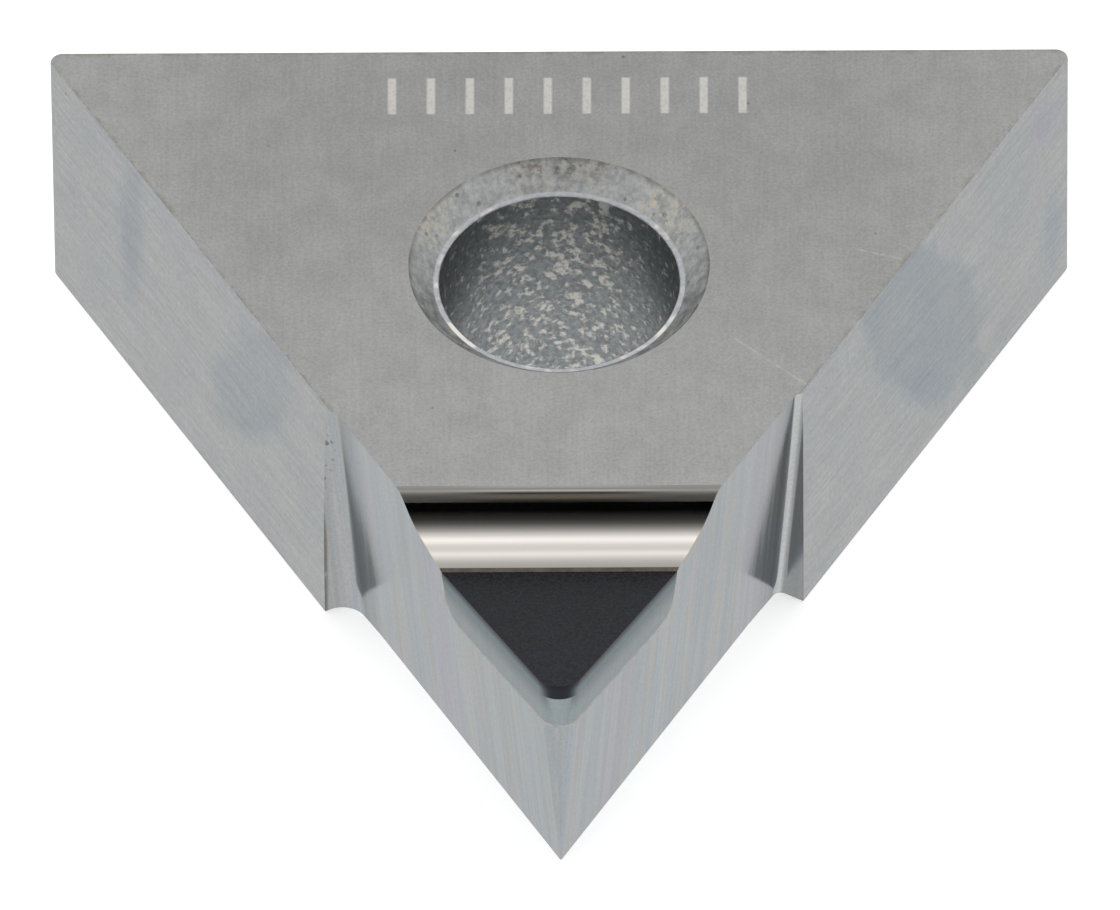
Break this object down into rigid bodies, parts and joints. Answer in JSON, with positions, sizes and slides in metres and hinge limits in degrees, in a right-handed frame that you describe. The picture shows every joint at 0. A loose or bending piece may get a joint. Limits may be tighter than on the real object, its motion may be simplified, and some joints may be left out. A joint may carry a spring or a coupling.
{
  "type": "diamond-tipped carbide turning insert",
  "caption": "Triangular carbide turning insert with a dished pin hole and a diamond blank brazed into one ground corner.",
  "frame": {"origin": "on the hole's axis, in the lower seating face", "axes": "+Z along the hole's axis, up to the face with the cutting edge; -Y towards the ground corner that carries the blank; +X to the right as the corner points at the viewer"},
  "size_m": [0.0162, 0.0137, 0.0048],
  "materials": {
    "carbide": "ground",
    "braze": "satin",
    "tip_carbide": "ground",
    "diamond": "satin"
  },
  "bodies": {
    "root": {"insert_body": "carbide", "braze_layer": "braze", "tip_substrate": "tip_carbide", "diamond_layer": "diamond"}
  },
  "joints": []
}
